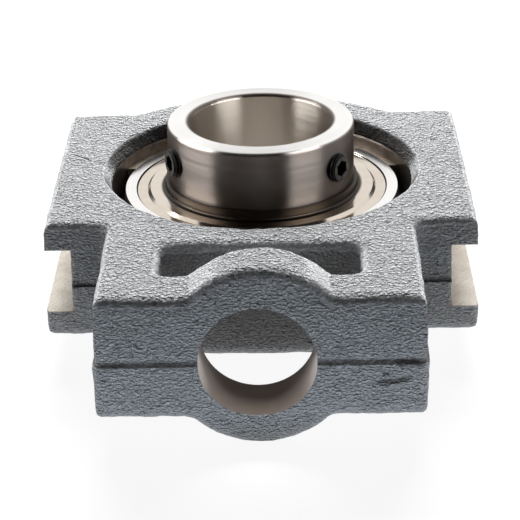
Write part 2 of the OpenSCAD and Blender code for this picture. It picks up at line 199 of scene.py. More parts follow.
def sand_grain_group():
    """Skin of a sand casting: lumps about as wide as Grain with creases between, pits, and patches."""
    tree, ends_in, ends_out = effect("sand_grain", {"Grain": 1.0 * MM}, ("Height", "Pits", "Patches"))
    flat = add(tree, "VectorMath", {0: add(tree, "TexCoord").outputs["Object"], 1: (1.0, 1.0, 1.6)},
               operation="MULTIPLY").outputs[0]
    per_metre = calc(tree, "DIVIDE", 1.0, ends_in.outputs["Grain"])
    grid = add(tree, "VectorMath", {0: flat, "Scale": per_metre}, operation="SCALE").outputs[0]
    bend = add(tree, "TexNoise", {"Vector": grid, "Scale": 0.9, "Detail": 2.0, "Roughness": 0.6})
    bent = add(tree, "VectorMath", {0: bend.outputs["Color"], 1: (0.9, 0.9, 0.9), 2: grid},
               operation="MULTIPLY_ADD").outputs[0]
    lumps = add(tree, "TexVoronoi", {"Vector": bent, "Scale": 1.0, "Smoothness": 0.35}, feature="SMOOTH_F1")
    fine = add(tree, "TexNoise", {"Vector": grid, "Scale": 2.3, "Detail": 2.0, "Roughness": 0.6})
    hollows = add(tree, "TexNoise", {"Vector": grid, "Scale": 0.75, "Detail": 1.0, "Distortion": 0.8})
    broad = add(tree, "TexNoise", {"Vector": grid, "Scale": 0.07, "Detail": 3.0, "Roughness": 0.6})
    pits = span(tree, hollows.outputs["Fac"], 0.38, 0.24)
    domes = span(tree, lumps.outputs["Distance"], 0.75, 0.1)
    height = calc(tree, "MULTIPLY_ADD", fine.outputs["Fac"], 0.7, calc(tree, "MULTIPLY", domes, 0.65))
    tree.links.new(calc(tree, "MULTIPLY_ADD", pits, -0.4, height), ends_out.inputs["Height"])
    tree.links.new(pits, ends_out.inputs["Pits"])
    tree.links.new(span(tree, broad.outputs["Fac"], 0.3, 0.7), ends_out.inputs["Patches"])
    return tree


def stain_group():
    """Oil and handling stains: soft blotches about as wide as Size, and finer specks."""
    tree, ends_in, ends_out = effect("oil_stain", {"Size": 8.0 * MM}, ("Blotch", "Specks"))
    place = add(tree, "TexCoord").outputs["Object"]
    per_metre = calc(tree, "DIVIDE", 1.0, ends_in.outputs["Size"])
    blotch = add(tree, "TexNoise", {"Vector": place, "Scale": per_metre, "Detail": 4.0, "Roughness": 0.6})
    specks = add(tree, "TexNoise", {"Vector": place, "Scale": calc(tree, "MULTIPLY", per_metre, 14.0),
                                    "Detail": 2.0, "Roughness": 0.5})
    tree.links.new(span(tree, blotch.outputs["Fac"], 0.35, 0.68), ends_out.inputs["Blotch"])
    tree.links.new(span(tree, specks.outputs["Fac"], 0.55, 0.72), ends_out.inputs["Specks"])
    return tree


def flaws_and_parting_shade_group():
    """Marks of the mould: painted shade as a dark band above the parting line, and the casting's flaws on the tail
    and an ear.
    """
    inputs = {"Line": PARTING_Z, "Width": 1.9 * MM}
    tree, ends_in, ends_out = effect("flaws_and_parting_shade", inputs, ("PartingShade", "Flaw"))
    place = add(tree, "TexCoord").outputs["Object"]
    x, y, z = add(tree, "SeparateXYZ", {0: place}).outputs
    wander = add(tree, "TexNoise", {"Vector": place, "Scale": 520.0, "Detail": 3.0, "Roughness": 0.65})
    waver = calc(tree, "MULTIPLY", calc(tree, "SUBTRACT", wander.outputs["Fac"], 0.5), 1.8 * MM)
    # The band of painted shade just above the parting line, with a wavering top
    above = calc(tree, "SUBTRACT", z, ends_in.outputs["Line"])
    line = calc(tree, "MULTIPLY", span(tree, above, -0.15 * MM, 0.1 * MM),
                span(tree, calc(tree, "ADD", above, waver), ends_in.outputs["Width"], 0.1 * MM))
    front = span(tree, y, tail_face_y + 6 * MM, tail_face_y + 4 * MM)
    outside = calc(tree, "MAXIMUM", front, span(tree, calc(tree, "ABSOLUTE", x), 38 * MM, 40 * MM))
    tree.links.new(calc(tree, "MULTIPLY", line, outside), ends_out.inputs["PartingShade"])

    def streak(u, v, centre, slope, reach, width):
        du = calc(tree, "SUBTRACT", u, centre[0])
        dv = calc(tree, "ADD", calc(tree, "SUBTRACT", v, centre[1]), waver)
        tilt = math.cos(slope), math.sin(slope)
        along = calc(tree, "MULTIPLY_ADD", du, tilt[0], calc(tree, "MULTIPLY", dv, tilt[1]))
        across = calc(tree, "MULTIPLY_ADD", dv, tilt[0], calc(tree, "MULTIPLY", du, -tilt[1]))
        return calc(tree, "MULTIPLY", span(tree, calc(tree, "ABSOLUTE", across), width, 0.1 * MM),
                    span(tree, calc(tree, "ABSOLUTE", along), reach, reach / 2))

    crease = streak(x, z, **TAIL_CREASE)
    stain = streak(x, z, **TAIL_STAIN)
    pit = streak(x, z, **TAIL_PIT)
    flaws = calc(tree, "MAXIMUM", crease, calc(tree, "MAXIMUM", stain, pit))
    on_tail = calc(tree, "MULTIPLY", flaws, front)
    on_ear = span(tree, z, FACE_Z - 1.5 * MM, FACE_Z - 0.5 * MM)
    scratch = calc(tree, "MULTIPLY", streak(x, y, **EAR_SCRATCH), on_ear)
    tree.links.new(calc(tree, "MAXIMUM", on_tail, scratch), ends_out.inputs["Flaw"])
    return tree


sand_grain = sand_grain_group()
flaws_and_parting_shade = flaws_and_parting_shade_group()
oil_stain = stain_group()


def cast_paint():
    """Thin blue-grey paint on the rough skin of the casting, with painted shade in its hollows, pits and mouth and
    above the parting line, and a darker brown in its nut slot.
    """
    material, tree, shader = finish_of("cast_paint", Specular_IOR_Level=0.12)
    skin = use(tree, sand_grain, Grain=1.0 * MM)
    marks = use(tree, flaws_and_parting_shade)
    # Painted light and shade on the grain: hollows of the skin painted darker, lumps lighter
    shaded_tone = mix(tree, span(tree, skin["Height"], 0.4, 0.95), PAINT_SHADED_HOLLOWS, PAINT_LIT_LUMPS)
    toned = mix(tree, calc(tree, "MULTIPLY", skin["Patches"], 0.3), shaded_tone, (0.43, 0.445, 0.46, 1))
    # Painted shade: the pits of the skin are darkened
    pit_shaded = mix(tree, calc(tree, "MULTIPLY", skin["Pits"], 0.6), toned, PIT_SHADE)
    place = add(tree, "SeparateXYZ", {0: add(tree, "TexCoord").outputs["Object"]})
    from_middle = calc(tree, "ABSOLUTE", place.outputs["Z"])
    aside = calc(tree, "ABSOLUTE", place.outputs["Y"])
    along = calc(tree, "ABSOLUTE", calc(tree, "SUBTRACT", place.outputs["Y"], nut_slot_y))
    slot_end = NUT_SLOT_LENGTH / 2
    in_slot = calc(tree, "MULTIPLY", span(tree, along, slot_end + 1 * MM, slot_end + 0.3 * MM),
                   span(tree, from_middle, FACE_Z - 1 * MM, FACE_Z - 4 * MM))
    cored = mix(tree, calc(tree, "MULTIPLY", in_slot, 0.35), pit_shaded, (0.17, 0.145, 0.125, 1))
    # Painted shade: the cast mouth round the seat, below the faces and clear of the loading slots, is darkened
    # nearly to black
    below_face = calc(tree, "MULTIPLY", span(tree, aside, 2 * MM, 9 * MM),
                      span(tree, from_middle, FACE_Z - 0.1 * MM, FACE_Z - 1 * MM))
    in_mouth = calc(tree, "MULTIPLY", span(tree, from_axis(tree), MOUTH_R + 3 * MM, MOUTH_R + 0.4 * MM),
                    below_face)
    mouth_shaded = mix(tree, calc(tree, "MULTIPLY", in_mouth, 0.85), cored, (0.06, 0.055, 0.05, 1))
    # Painted shade: a dark band just above the parting line
    parting_shaded = mix(tree, calc(tree, "MULTIPLY", marks["PartingShade"], 0.75), mouth_shaded, (0.09, 0.08, 0.075, 1))
    colour = mix(tree, calc(tree, "MULTIPLY", marks["Flaw"], 0.8), parting_shaded, (0.07, 0.062, 0.058, 1))
    facing = add(tree, "SeparateXYZ", {0: add(tree, "NewGeometry").outputs["Normal"]}).outputs["Z"]
    rounded = calc(tree, "MULTIPLY", span(tree, facing, 0.12, 0.3), span(tree, facing, 0.95, 0.8))
    sunk = calc(tree, "MULTIPLY_ADD", marks["Flaw"], -0.9, skin["Height"])
    bump = add(tree, "Bump", {"Height": sunk, "Strength": span(tree, rounded, 0, 1, 1.0, 0.35),
                              "Distance": 1.7 * MM})
    feed(tree, shader, Base_Color=colour, Roughness=span(tree, skin["Height"], 0.6, 1.2, 0.75, 0.5),
         Normal=bump.outputs["Normal"])
    return material


def bored_iron():
    """Bored and oiled iron of the seat wall: dark brown, with fine rings from the boring tool."""
    material, tree, shader = finish_of("bored_iron", Metallic=0.85, Roughness=0.42)
    stain = use(tree, oil_stain, Size=6.0 * MM)
    colour = mix(tree, stain["Blotch"], (0.15, 0.125, 0.11, 1), (0.26, 0.225, 0.20, 1))
    place = add(tree, "SeparateXYZ", {0: add(tree, "TexCoord").outputs["Object"]})
    rings = calc(tree, "SINE", calc(tree, "MULTIPLY", place.outputs["Z"], 2 * math.pi / (0.45 * MM)))
    bump = add(tree, "Bump", {"Height": rings, "Strength": 0.25, "Distance": 0.02 * MM})
    feed(tree, shader, Base_Color=colour, Normal=bump.outputs["Normal"])
    return material


def turned_ledge():
    """Freshly turned iron of the ledge above the seat: pale beige under a trace of oil."""
    material, tree, shader = finish_of("turned_ledge", Metallic=0.6)
    stain = use(tree, oil_stain, Size=5.0 * MM)
    colour = mix(tree, stain["Blotch"], (0.62, 0.55, 0.46, 1), (0.42, 0.36, 0.29, 1))
    feed(tree, shader, Base_Color=colour, Roughness=span(tree, stain["Specks"], 0, 1, 0.35, 0.5))
    return material


def milled_iron():
    """Milled faces of the rail grooves: pale bare iron with slanting cutter marks and a brown bloom."""
    material, tree, shader = finish_of("milled_iron", Metallic=0.35, Specular_IOR_Level=0.4)
    stain = use(tree, oil_stain, Size=9.0 * MM)
    turned = add(tree, "VectorRotate", {"Vector": add(tree, "TexCoord").outputs["Object"], "Angle": 0.6},
                 rotation_type="Z_AXIS")
    drawn_out = add(tree, "VectorMath", {0: turned.outputs[0], 1: (3400, 160, 0)}, operation="MULTIPLY")
    marks = add(tree, "TexNoise", {"Vector": drawn_out.outputs[0], "Scale": 1.0, "Detail": 2.0})
    ridges = span(tree, marks.outputs["Fac"], 0.35, 0.65)
    pale = mix(tree, ridges, (0.68, 0.63, 0.555, 1), (0.79, 0.745, 0.68, 1))
    dirty = mix(tree, calc(tree, "MULTIPLY", stain["Specks"], 0.55), pale, (0.30, 0.26, 0.215, 1))
    stained = mix(tree, calc(tree, "MULTIPLY", stain["Blotch"], 0.35), dirty, (0.42, 0.35, 0.27, 1))
    place = add(tree, "SeparateXYZ", {0: add(tree, "TexCoord").outputs["Object"]})
    brink = span(tree, place.outputs["Y"], FLANGE_FRONT_Y + 0.6 * MM, FLANGE_FRONT_Y)
    foot = span(tree, calc(tree, "ABSOLUTE", place.outputs["X"]), groove_floor_x + 0.9 * MM, groove_floor_x)
    rusty = calc(tree, "MULTIPLY", calc(tree, "MAXIMUM", brink, foot), 0.8)
    colour = mix(tree, rusty, stained, (0.14, 0.085, 0.06, 1))
    bump = add(tree, "Bump", {"Height": marks.outputs["Fac"], "Strength": 0.5, "Distance": 0.05 * MM})
    feed(tree, shader, Base_Color=colour, Normal=bump.outputs["Normal"],
         Roughness=span(tree, marks.outputs["Fac"], 0.3, 0.7, 0.5, 0.38))
    return material


def cored_bore():
    """Wall of the adjusting screw's hole: drilled smooth, dark brown with old oil."""
    material, tree, shader = finish_of("cored_bore", Metallic=0.5, Specular_IOR_Level=0.4)
    stain = use(tree, oil_stain, Size=7.0 * MM)
    colour = mix(tree, stain["Blotch"], (0.42, 0.345, 0.305, 1), (0.47, 0.395, 0.35, 1))
    bump = add(tree, "Bump", {"Height": stain["Specks"], "Strength": 0.1, "Distance": 0.03 * MM})
    feed(tree, shader, Base_Color=colour, Roughness=span(tree, stain["Blotch"], 0, 1, 0.29, 0.30),
         Normal=bump.outputs["Normal"])
    return material


def even_cells(source):
    """A copy of a solid's mesh rebuilt from even cells, with its sharp edges kept."""
    mesh = source.data.copy()
    welded = bmesh.new()
    welded.from_mesh(mesh)
    bmesh.ops.remove_doubles(welded, verts=welded.verts, dist=WELD_REACH)
    welded.to_mesh(mesh)
    welded.free()
    holder = bpy.data.objects.new("cells", mesh)
    bpy.context.scene.collection.objects.link(holder)
    remesh = holder.modifiers.new("cells", "REMESH")
    remesh.mode = "SHARP"
    remesh.octree_depth = HOUSING_CELLS_DEPTH
    remesh.scale = HOUSING_CELLS_SCALE
    evaluated = holder.evaluated_get(bpy.context.evaluated_depsgraph_get())
    made = bpy.data.meshes.new_from_object(evaluated)
    bpy.data.objects.remove(holder)
    return made


def zone_of(face):
    """Which tool cut a face of the housing, or 'cast' for the skin that the mould left."""
    p = face.calc_center_median()
    upright = abs(face.normal.z)
    if math.hypot(p.x, p.y) < BORED_WALL_R + CUT_SLACK and abs(p.z) < BORED_WALL_TOP:
        return "ledge" if upright > SQUARE_ON else "bored"
    from_hole = math.hypot(p.x - hole_x, p.z - hole_z)
    by_hole = p.y < hole_back_y + CUT_SLACK and from_hole < hole_r + DRILLED_SLACK
    if by_hole and abs(face.normal.y) < SQUARE_ON:
        return "drilled"
    by_groove = abs(p.x) > groove_floor_x and abs(abs(p.z) - GROOVE_HALF_W) < CUT_SLACK
    if by_groove and upright > SQUARE_ON:
        return "milled"
    return "cast"


def under_tail_faces(p):
    """How deep a point lies under the tail's upper or lower face with its boss, and the way out."""
    x, z = abs(p.x), abs(p.z)
    if p.y > nut_slot_y or x > BOSS_FILLET_X:
        return FACE_Z - z, Vector((0, 0, math.copysign(1, p.z)))
    if x * BOSS_FILLET_Z < z * BOSS_FILLET_X:
        radial = Vector((p.x, 0, p.z))
        return BOSS_R - radial.length, radial.normalized()
    to_fillet = Vector((math.copysign(BOSS_FILLET_X - x, p.x), 0, math.copysign(BOSS_FILLET_Z - z, p.z)))
    return to_fillet.length - BOSS_FILLET_R, to_fillet.normalized()


def behind_tail_front(p):
    """How deep a point lies behind the tail's drafted front, and the way out."""
    step = PARTING_STEP if p.z > PARTING_Z else 0.0
    return p.y - tail_face_y - step - abs(p.z - PARTING_Z) * math.tan(DRAFT), Vector((0, -1, 0))


def beside_nut_slot(p):
    """How deep a point lies in the metal round the nut slot, and the way out into the slot."""
    over_x = abs(p.x) - NUT_SLOT_HALF_W + NUT_SLOT_R
    over_y = abs(p.y - nut_slot_y) - NUT_SLOT_LENGTH / 2 + NUT_SLOT_R
    away = Vector((max(over_x, 0), max(over_y, 0), 0))
    if away.length == 0:
        return max(over_x, over_y) - NUT_SLOT_R, Vector()
    way_out = Vector((-math.copysign(away.x, p.x), -math.copysign(away.y, p.y - nut_slot_y), 0))
    return away.length - NUT_SLOT_R, way_out.normalized()


def rounded_edge(p, first, second):
    """A point of a square edge moved in onto the edge's rounding, from its depths under the two faces."""
    in_first, in_second = CAST_EDGE_R - first[0], CAST_EDGE_R - second[0]
    if in_first <= 0 or in_second <= 0:
        return p
    beyond = max(0.0, 1 - CAST_EDGE_R / math.hypot(in_first, in_second))
    return p - (first[1] * in_first + second[1] * in_second) * beyond


def skin_lift(p):
    """How far the sand left the casting's skin above its true face at a point, or below it."""
    lift = SKIN_BUILD + sum(reach * noise.noise(p / grain) for grain, reach in SKIN_LAYERS)
    if p.y < hole_back_y or abs(p.x) > groove_floor_x:
        above = (p.z - PARTING_Z - PARTING_GROOVE["centre"]) / PARTING_GROOVE["width"]
        lift -= PARTING_GROOVE["depth"] * math.exp(-above * above)
    if p.y < tail_face_y + 1.0 * MM:
        away = math.hypot(p.x - FLAW_LUMP["x"], p.z - FLAW_LUMP["z"]) / FLAW_LUMP["r"]
        lift += FLAW_LUMP["rise"] * math.exp(-away * away)
    return lift


def cast_housing():
    """The casting: cast edges softened, the sand's skin pressed in, and each cut face given its finish."""
    shape = bmesh.new()
    shape.from_mesh(even_cells(nodes["housing"]))
    zones = {face: zone_of(face) for face in shape.faces}
    cast = [v for v in shape.verts if all(zones[face] == "cast" for face in v.link_faces)]
    for vertex in cast:
        if vertex.co.y < nut_slot_y + NUT_SLOT_LENGTH and abs(vertex.co.x) < groove_floor_x:
            vertex.co = rounded_edge(vertex.co, under_tail_faces(vertex.co), beside_nut_slot(vertex.co))
            vertex.co = rounded_edge(vertex.co, under_tail_faces(vertex.co), behind_tail_front(vertex.co))
    soft = [v for v in cast if abs(v.co.z - PARTING_Z) > PARTING_STEP_HALF]
    for _ in range(EDGE_SOFTENING_PASSES):
        bmesh.ops.smooth_vert(shape, verts=soft, factor=EDGE_SOFTENING_SHARE,
                              use_axis_x=True, use_axis_y=True, use_axis_z=True)
    shape.normal_update()
    low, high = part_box("housing")
    moves = [(v, v.co + v.normal * skin_lift(v.co)) for v in cast]
    for vertex, place in moves:
        vertex.co = [min(max(value, least), most) for value, least, most in zip(place, low, high)]
    slots = {"cast": 0, "bored": 1, "ledge": 2, "drilled": 3, "milled": 4}
    for face in shape.faces:
        face.smooth = True
        face.material_index = slots[zones[face]]
    mesh = bpy.data.meshes.new("cast_housing")
    shape.to_mesh(mesh)
    shape.free()
    mesh.set_sharp_from_angle(angle=SHARP_EDGE)
    for material in (cast_paint(), bored_iron(), turned_ledge(), cored_bore(), milled_iron()):
        mesh.materials.append(material)
    return bpy.data.objects.new("cast_housing", mesh)


housing = cast_housing()
bpy.context.scene.collection.objects.link(housing)
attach(housing, "housing")
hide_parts("housing")

# Outer and inner ring: hardened chromium steel, turned and ground round the shaft's axis. The ground
# lines run round the rings, so their reflections smear along the axis, and the inner ring is oiled.


def turning_group():
    """Marks of turning or grinding round the Z axis, about Pitch apart: fine grooves and wider bands."""
    tree, ends_in, ends_out = effect("turning_marks", {"Pitch": 0.2 * MM}, ("Grooves", "Bands"))
    place = add(tree, "SeparateXYZ", {0: add(tree, "TexCoord").outputs["Object"]})
    x, y, z = place.outputs
    radius = calc(tree, "SQRT", calc(tree, "MULTIPLY_ADD", x, x, calc(tree, "MULTIPLY", y, y)))
    angle = calc(tree, "ARCTAN2", y, x)
    per_metre = calc(tree, "DIVIDE", 1.0, ends_in.outputs["Pitch"])
    fine = add(tree, "CombineXYZ", {0: calc(tree, "MULTIPLY", radius, per_metre),
                                    1: calc(tree, "MULTIPLY", z, per_metre),
                                    2: calc(tree, "MULTIPLY", angle, 1.3)})
    grooves = add(tree, "TexNoise", {"Vector": fine.outputs[0], "Scale": 1.0, "Detail": 2.0})
    bands = add(tree, "TexNoise", {"Vector": fine.outputs[0], "Scale": 0.12, "Detail": 2.0})
    tree.links.new(grooves.outputs["Fac"], ends_out.inputs["Grooves"])
    tree.links.new(span(tree, bands.outputs["Fac"], 0.3, 0.7), ends_out.inputs["Bands"])
    return tree


turning_marks = turning_group()


def ground_steel(name, pale, oiled, outside, bore, radii, rough_low, rough_high, pitch):
    """Ground bearing steel with its lines round the axis, and a film of oil in its bore and outside."""
    material, tree, shader = finish_of(name, Specular_IOR_Level=0.2, Anisotropic=0.9,
                                       Anisotropic_Rotation=0.25)
    marks = use(tree, turning_marks, Pitch=pitch)
    stain = use(tree, oil_stain, Size=10.0 * MM)
    face = mix(tree, calc(tree, "MULTIPLY", stain["Blotch"], 0.15), pale, oiled)
    radius = from_axis(tree)
    on_outside = span(tree, radius, radii[1] - 0.5 * MM, radii[1] - 0.05 * MM)
    oiled_out = mix(tree, on_outside, face, outside)
    in_bore = span(tree, radius, radii[0] + 1.3 * MM, radii[0] + 0.4 * MM)
    past_bore = span(tree, radius, radii[0] + 0.02 * MM, radii[0] + 0.06 * MM)
    on_chamfer = calc(tree, "MULTIPLY", in_bore, past_bore)
    film = mix(tree, on_chamfer, mix(tree, in_bore, oiled_out, bore), outside)
    colour = mix(tree, calc(tree, "MULTIPLY", marks["Bands"], 0.08), film, oiled, "MULTIPLY")
    edge_tint = mix(tree, calc(tree, "MAXIMUM", in_bore, on_outside), WHITE, (0.45, 0.43, 0.41, 1))
    bump = add(tree, "Bump", {"Height": marks["Grooves"], "Strength": 0.05, "Distance": 0.02 * MM})
    tangent = add(tree, "Tangent", direction_type="RADIAL", axis="Z")
    feed(tree, shader, Base_Color=colour, Normal=bump.outputs["Normal"], Tangent=tangent.outputs[0],
         Metallic=span(tree, in_bore, 0, 1, 1.0, 0.75), Specular_Tint=edge_tint,
         Roughness=span(tree, marks["Bands"], 0, 1, rough_low, rough_high))
    return material


def dress(node, material):
    """Gives a frame node its finish and leaves its shape as it is."""
    for slot in nodes[node].material_slots:
        slot.material = material


shaft_r = mounts["shaft_bore"]["dims"]["r_mm"] * MM
ring_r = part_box("inner_ring")[1].y
outer_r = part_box("outer_ring")[1].y
inner_steel = ground_steel("inner_ring_steel", pale=(1.0, 0.99, 0.97, 1), oiled=(0.85, 0.81, 0.76, 1),
                           outside=(0.18, 0.158, 0.144, 1), bore=(0.58, 0.53, 0.475, 1),
                           radii=(shaft_r, ring_r), rough_low=0.30, rough_high=0.36, pitch=0.16 * MM)
outer_steel = ground_steel("outer_ring_steel", pale=(0.98, 0.96, 0.94, 1), oiled=(0.85, 0.81, 0.77, 1),
                           outside=(0.5, 0.46, 0.42, 1), bore=(0.5, 0.46, 0.42, 1),
                           radii=(shaft_r, outer_r), rough_low=0.12, rough_high=0.2, pitch=0.2 * MM)
dress("inner_ring", inner_steel)
dress("outer_ring", outer_steel)

# Nine balls and their cage: lapped steel balls in a cage of two halves pressed from thin strip and
# held together by nine rivets. The flingers hide them, and the poses turn them with the ring.


def lapped_steel():
    """Mirror-lapped ball steel with faint smears of grease."""
    material, tree, shader = finish_of("lapped_steel", Metallic=1.0)
    stain = use(tree, oil_stain, Size=4.0 * MM)
    greasy = calc(tree, "MULTIPLY", stain["Blotch"], 0.6)
    colour = mix(tree, greasy, (0.75, 0.75, 0.76, 1), (0.55, 0.52, 0.46, 1))
    feed(tree, shader, Base_Color=colour, Roughness=span(tree, stain["Blotch"], 0, 1, 0.06, 0.22))
    return material


def pressed_strip(name, pale, stained):
    """Pressed strip steel: a dull rolled face with grease in its hollows."""
    material, tree, shader = finish_of(name, Metallic=1.0)
    stain = use(tree, oil_stain, Size=5.0 * MM)
    colour = mix(tree, calc(tree, "MULTIPLY", stain["Blotch"], 0.7), pale, stained)
    bump = add(tree, "Bump", {"Height": stain["Specks"], "Strength": 0.25, "Distance": 0.02 * MM})
    feed(tree, shader, Base_Color=colour, Normal=bump.outputs["Normal"],
         Roughness=span(tree, stain["Blotch"], 0, 1, 0.3, 0.5))
    return material


ball_steel = lapped_steel()
cage_strip = pressed_strip("cage_strip", (0.62, 0.58, 0.50, 1), (0.38, 0.31, 0.22, 1))
for node in nodes:
    if node.startswith("ball_") or node == "nipple_ball":
        dress(node, ball_steel)
    if node.startswith("cage_"):
        dress(node, cage_strip)

# Two seals: black nitrile rubber moulded as a thin ring with a lip, one on each side of the balls.
# They clip into the outer ring's shoulders and their lips lie close to the inner ring.


def seal_rubber():
    """Moulded black rubber with a dull bloom."""
    material, tree, shader = finish_of("seal_rubber", Specular_IOR_Level=0.4)
    stain = use(tree, oil_stain, Size=6.0 * MM)
    colour = mix(tree, stain["Blotch"], (0.022, 0.022, 0.023, 1), (0.055, 0.052, 0.05, 1))
    bump = add(tree, "Bump", {"Height": stain["Specks"], "Strength": 0.3, "Distance": 0.03 * MM})
    feed(tree, shader, Base_Color=colour, Normal=bump.outputs["Normal"],
         Roughness=span(tree, stain["Blotch"], 0, 1, 0.45, 0.68))
    return material


rubber = seal_rubber()
dress("front_seal", rubber)
dress("rear_seal", rubber)

# Two flingers: bright pressed steel discs that sit on the inner ring and turn with it, with a stepped
# rim over the seal. They have the warm tint of a thin chromate film.
FLINGER_PALE = (0.75, 0.67, 0.58, 1)
FLINGER_BROWN = (0.60, 0.51, 0.41, 1)
FLINGER_COLLAR_SHADE = (0.022, 0.016, 0.012, 1)


def flinger_steel():
    """Bright pressed steel under a warm film, with faint rings from the press tool and painted shade on its
    collar.
    """
    material, tree, shader = finish_of("flinger_steel", Metallic=1.0)
    marks = use(tree, turning_marks, Pitch=0.25 * MM)
    stain = use(tree, oil_stain, Size=7.0 * MM)
    film = mix(tree, calc(tree, "MULTIPLY", stain["Blotch"], 0.3), FLINGER_PALE, FLINGER_BROWN)
    # Painted shade: the collar next to the ring is darkened nearly to black
    collar = span(tree, from_axis(tree), ring_r + 2.6 * MM, ring_r + 1.8 * MM)
    shaded_tone = mix(tree, calc(tree, "MULTIPLY", collar, 0.97), film, FLINGER_COLLAR_SHADE)
    bump = add(tree, "Bump", {"Height": marks["Grooves"], "Strength": 0.1, "Distance": 0.02 * MM})
    polish = span(tree, marks["Bands"], 0, 1, 0.08, 0.15)
    feed(tree, shader, Base_Color=shaded_tone, Normal=bump.outputs["Normal"],
         Roughness=calc(tree, "MULTIPLY_ADD", collar, 0.3, polish))
    return material


pressed_flinger = flinger_steel()
dress("front_flinger", pressed_flinger)
dress("rear_flinger", pressed_flinger)

# Two set screws: alloy steel, black oxide, with a hex socket and a fine thread, screwed through the
# inner ring onto the shaft. Each is lathed in code as a true helix inside its plain solid.
SCREW_R = 4.0 * MM
SCREW_LENGTH = 6.198 * MM
THREAD_PITCH = 1.0 * MM
THREAD_DEPTH = 0.55 * MM
SOCKET_AF = 4.0 * MM
SOCKET_DEPTH = 3.0 * MM
SOCKET_LEAD_IN = 0.3 * MM
SOCKET_LEAD_DEPTH = 0.15 * MM
SOCKET_DRILL_POINT = 0.8 * MM
END_CHAMFER = 0.6 * MM
CUP_DEPTH = 0.5 * MM
THREAD_FLAT = 0.1
THREAD_SHARP_EDGE = math.radians(30)
ROUND_STEPS = 72
STEPS_PER_PITCH = 8


def black_oxide():
    """Oiled black oxide, with a painted highlight on the thread crests."""
    material, tree, shader = finish_of("black_oxide", Specular_IOR_Level=0.06)
    stain = use(tree, oil_stain, Size=2.0 * MM)
    # Painted highlight: the pointy thread crests are given a pale colour
    crest_highlight = span(tree, add(tree, "NewGeometry").outputs["Pointiness"], 0.52, 0.6)
    colour = mix(tree, calc(tree, "MULTIPLY", crest_highlight, 0.6), (0.012, 0.011, 0.011, 1), (0.45, 0.42, 0.39, 1))
    bump = add(tree, "Bump", {"Height": stain["Specks"], "Strength": 0.2, "Distance": 0.02 * MM})
    feed(tree, shader, Base_Color=colour, Normal=bump.outputs["Normal"],
         Roughness=span(tree, stain["Blotch"], 0, 1, 0.4, 0.55))
    return material


def threaded_radius(along, turn):
    """Radius of the thread at a distance along the screw and a share of a turn round it."""
    phase = (along / THREAD_PITCH - turn) % 1.0
    flank = min(phase, 1.0 - phase) * 2
    climb = (flank - THREAD_FLAT) / (1.0 - 2 * THREAD_FLAT)
    radius = SCREW_R - THREAD_DEPTH * (1.0 - min(1.0, max(0.0, climb)))
    from_end = min(along, SCREW_LENGTH - along)
    return min(radius, SCREW_R - END_CHAMFER + from_end)


def set_screw(name, node, centre, outward):
    """A threaded screw with its hex socket facing outward, in the place of its plain solid."""
    shape = bmesh.new()
    rows = round(SCREW_LENGTH / THREAD_PITCH * STEPS_PER_PITCH)
    rings = []
    for row in range(rows + 1):
        along = SCREW_LENGTH * row / rows
        ring = []
        for step in range(ROUND_STEPS):
            turn = step / ROUND_STEPS
            radius = threaded_radius(along, turn)
            angle = 2 * math.pi * turn
            ring.append(shape.verts.new((radius * math.cos(angle), radius * math.sin(angle), along)))
        rings.append(ring)

    def hexagon(z, across_flats):
        ring = []
        for step in range(ROUND_STEPS):
            angle = 2 * math.pi * step / ROUND_STEPS
            slant = (angle + math.pi / 6) % (math.pi / 3) - math.pi / 6
            radius = across_flats / 2 / math.cos(slant)
            ring.append(shape.verts.new((radius * math.cos(angle), radius * math.sin(angle), z)))
        return ring

    rings.append(hexagon(SCREW_LENGTH, SOCKET_AF + SOCKET_LEAD_IN))
    rings.append(hexagon(SCREW_LENGTH - SOCKET_LEAD_DEPTH, SOCKET_AF))
    rings.append(hexagon(SCREW_LENGTH - SOCKET_DEPTH, SOCKET_AF))
    for lower, upper in zip(rings, rings[1:]):
        for step in range(ROUND_STEPS):
            after = (step + 1) % ROUND_STEPS
            shape.faces.new((lower[step], lower[after], upper[after], upper[step]))
    floor = shape.verts.new((0, 0, SCREW_LENGTH - SOCKET_DEPTH - SOCKET_DRILL_POINT))
    tip = shape.verts.new((0, 0, CUP_DEPTH))
    for step in range(ROUND_STEPS):
        after = (step + 1) % ROUND_STEPS
        shape.faces.new((rings[-1][step], rings[-1][after], floor))
        shape.faces.new((rings[0][after], rings[0][step], tip))
    bmesh.ops.recalc_face_normals(shape, faces=shape.faces)
    turn = outward.to_track_quat("Z", "Y").to_matrix().to_4x4()
    seat = Matrix.Translation(centre) @ turn @ Matrix.Translation((0, 0, -SCREW_LENGTH / 2))
    bmesh.ops.transform(shape, matrix=seat, verts=shape.verts)
    mesh = bpy.data.meshes.new(name)
    shape.to_mesh(mesh)
    shape.free()
    for polygon in mesh.polygons:
        polygon.use_smooth = True
    mesh.set_sharp_from_angle(angle=THREAD_SHARP_EDGE)
    mesh.materials.append(screw_finish)
    screw = bpy.data.objects.new(name, mesh)
    bpy.context.scene.collection.objects.link(screw)
    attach(screw, node)
    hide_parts(node)


screw_finish = black_oxide()
for joint in frame["joints"]:
    if joint["name"].startswith("set_screw"):
        low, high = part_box(joint["child"])
        set_screw("threaded_" + joint["child"], joint["child"], (low + high) / 2, Vector(joint["axis"]))

# Grease nipple: a zinc-plated steel body screwed into the closed end, with a check ball on a spring.
# The spring is a copy of its solid, carried with the housing.


